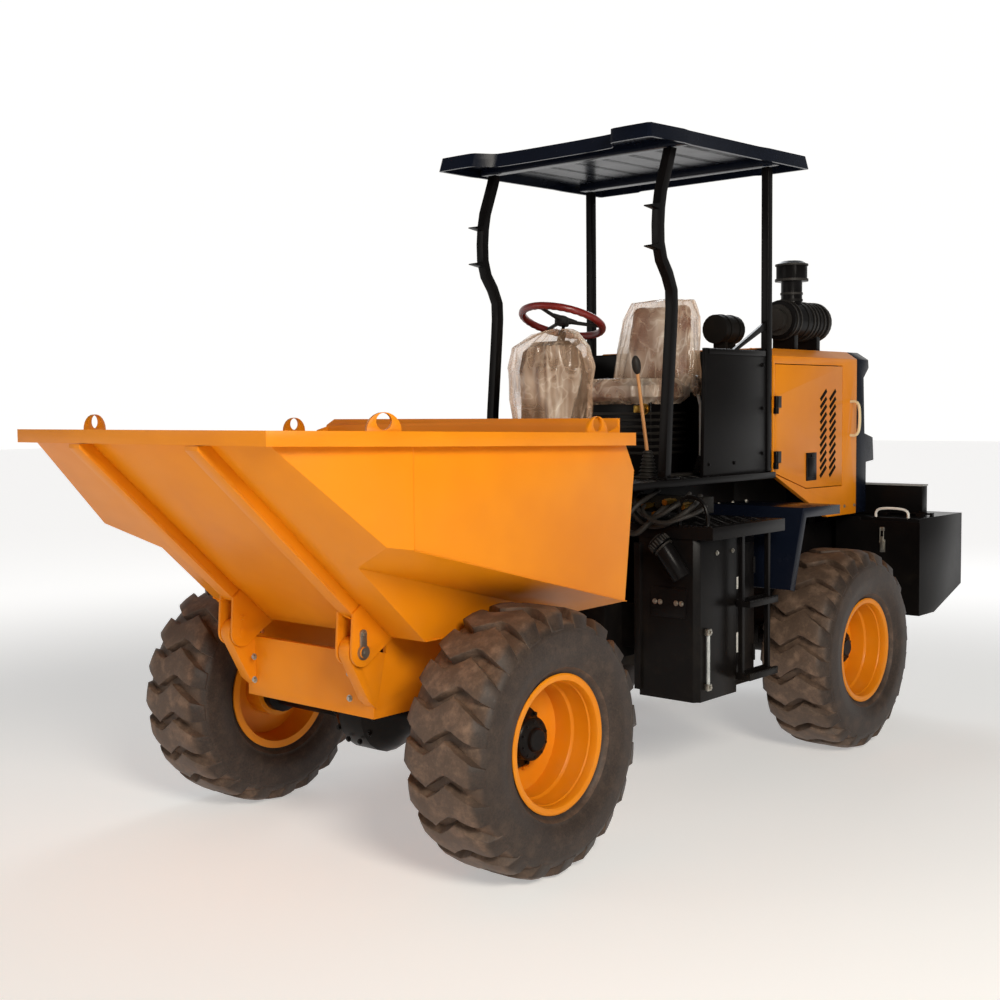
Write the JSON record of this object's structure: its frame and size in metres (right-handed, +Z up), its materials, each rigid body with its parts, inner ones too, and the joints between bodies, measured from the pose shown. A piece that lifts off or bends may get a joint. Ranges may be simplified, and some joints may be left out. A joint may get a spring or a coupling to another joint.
{
  "type": "site dumper",
  "caption": "Articulated site dumper with a front tipping skip, open operator's platform under a canopy, and a rear engine housing between low rear boxes.",
  "frame": {"origin": "on the ground under the middle of the machine's bounding box", "axes": "+X to the machine's left, -Y forwards towards the skip, +Z up"},
  "size_m": [2.098, 5.225, 3.1843],
  "materials": {
    "orange_paint": "semi-gloss",
    "black_paint": "satin",
    "navy_paint": "semi-gloss",
    "tyre": "dusty matt",
    "cast_iron": "rough",
    "chrome": "polished",
    "seat_cover": "satin",
    "steering_rim": "gloss"
  },
  "bodies": {
    "rear_chassis": {"rear_frame": "black_paint", "rear_axle": "black_paint", "transmission": "cast_iron", "engine": "cast_iron", "platform": "black_paint", "left_tank": "black_paint", "right_tank": "black_paint", "left_step": "black_paint", "right_step": "black_paint", "left_fender": "navy_paint", "right_fender": "navy_paint", "front_left_post": "black_paint", "front_right_post": "black_paint", "rear_left_post": "black_paint", "rear_right_post": "black_paint", "canopy_roof": "navy_paint", "seat_base": "black_paint", "seat_cushion": "seat_cover", "seat_backrest": "seat_cover", "dash_console": "black_paint", "control_levers": "black_paint", "bulkhead": "black_paint", "hood_shell": "orange_paint", "rear_grille": "navy_paint", "air_cleaner": "black_paint", "exhaust_muffler": "black_paint", "left_tool_box": "black_paint", "right_tool_box": "black_paint", "tail_board": "black_paint"},
    "front_chassis": {"front_frame": "orange_paint", "front_axle": "black_paint", "front_driveshaft": "cast_iron"},
    "skip": {"skip_shell": "orange_paint", "skip_rim": "orange_paint", "spill_guard": "orange_paint", "left_hinge_rib": "orange_paint", "right_hinge_rib": "orange_paint"},
    "steering_wheel": {"steering_wheel": "steering_rim"},
    "left_engine_door": {"left_engine_door": "orange_paint"},
    "right_engine_door": {"right_engine_door": "orange_paint"},
    "left_box_lid": {"left_box_lid": "black_paint"},
    "right_box_lid": {"right_box_lid": "black_paint"},
    "tip_cylinder_barrel": {"tip_cylinder": "black_paint"},
    "tip_cylinder_rod": {"tip_rod": "chrome"},
    "steering_cylinder_barrel": {"steering_cylinder": "black_paint"},
    "steering_cylinder_rod": {"steering_rod": "chrome"},
    "front_left_wheel": {"front_left_tyre": "tyre", "front_left_rim": "orange_paint"},
    "front_right_wheel": {"front_right_tyre": "tyre", "front_right_rim": "orange_paint"},
    "rear_left_wheel": {"rear_left_tyre": "tyre", "rear_left_rim": "orange_paint"},
    "rear_right_wheel": {"rear_right_tyre": "tyre", "rear_right_rim": "orange_paint"}
  },
  "joints": [
    {"name": "articulation", "type": "hinge", "parent": "rear_chassis", "child": "front_chassis", "pos_m": [0, -0.4225, 0.75], "axis": [0, 0, 1], "range_deg": [-30, 30]},
    {"name": "skip_tip", "type": "hinge", "parent": "front_chassis", "child": "skip", "pos_m": [0, -1.8595, 0.905], "axis": [1, 0, 0], "range_deg": [0, 62]},
    {"name": "front_left_wheel_spin", "type": "hinge", "parent": "front_chassis", "child": "front_left_wheel", "pos_m": [0.844, -1.3725, 0.5375], "axis": [1, 0, 0], "continuous": true},
    {"name": "front_right_wheel_spin", "type": "hinge", "parent": "front_chassis", "child": "front_right_wheel", "pos_m": [-0.844, -1.3725, 0.5375], "axis": [1, 0, 0], "continuous": true},
    {"name": "rear_left_wheel_spin", "type": "hinge", "parent": "rear_chassis", "child": "rear_left_wheel", "pos_m": [0.844, 1.2625, 0.5375], "axis": [1, 0, 0], "continuous": true},
    {"name": "rear_right_wheel_spin", "type": "hinge", "parent": "rear_chassis", "child": "rear_right_wheel", "pos_m": [-0.844, 1.2625, 0.5375], "axis": [1, 0, 0], "continuous": true},
    {"name": "steering_wheel_turn", "type": "hinge", "parent": "rear_chassis", "child": "steering_wheel", "pos_m": [0, -0.0625, 2.29], "axis": [0, 0.3256, 0.9455], "continuous": true},
    {"name": "left_engine_door_swing", "type": "hinge", "parent": "rear_chassis", "child": "left_engine_door", "pos_m": [0.614, 1.0055, 1.708], "axis": [0, 0, -1], "range_deg": [0, 80]},
    {"name": "left_box_lid_swing", "type": "hinge", "parent": "rear_chassis", "child": "left_box_lid", "pos_m": [0.79, 2.2175, 1.204], "axis": [-1, 0, 0], "range_deg": [0, 75]},
    {"name": "right_engine_door_swing", "type": "hinge", "parent": "rear_chassis", "child": "right_engine_door", "pos_m": [-0.614, 1.0055, 1.708], "axis": [0, 0, 1], "range_deg": [0, 80]},
    {"name": "right_box_lid_swing", "type": "hinge", "parent": "rear_chassis", "child": "right_box_lid", "pos_m": [-0.79, 2.2175, 1.204], "axis": [-1, 0, 0], "range_deg": [0, 75]},
    {"name": "tip_cylinder_swing", "type": "hinge", "parent": "front_chassis", "child": "tip_cylinder_barrel", "pos_m": [0, -1.7075, 0.7], "axis": [1, 0, 0], "range_deg": [0, 61]},
    {"name": "tip_rod_stroke", "type": "slide", "parent": "tip_cylinder_barrel", "child": "tip_cylinder_rod", "axis": [0, 0.9562, 0.2929], "range_m": [0, 0.3]},
    {"name": "steering_cylinder_swing", "type": "hinge", "parent": "rear_chassis", "child": "steering_cylinder_barrel", "pos_m": [0.23, -0.0225, 0.76], "axis": [0, 0, 1], "range_deg": [-10, 10]},
    {"name": "steering_rod_stroke", "type": "slide", "parent": "steering_cylinder_barrel", "child": "steering_cylinder_rod", "axis": [0, -1, 0], "range_m": [-0.125, 0.125]}
  ],
  "couplings": [
    {"joint": "tip_cylinder_swing", "follows": "skip_tip", "ratio": 0.96},
    {"joint": "tip_rod_stroke", "follows": "skip_tip", "m_per_rad": 0.265},
    {"joint": "steering_cylinder_swing", "follows": "articulation", "ratio": 0.314},
    {"joint": "steering_rod_stroke", "follows": "articulation", "m_per_rad": -0.226}
  ]
}
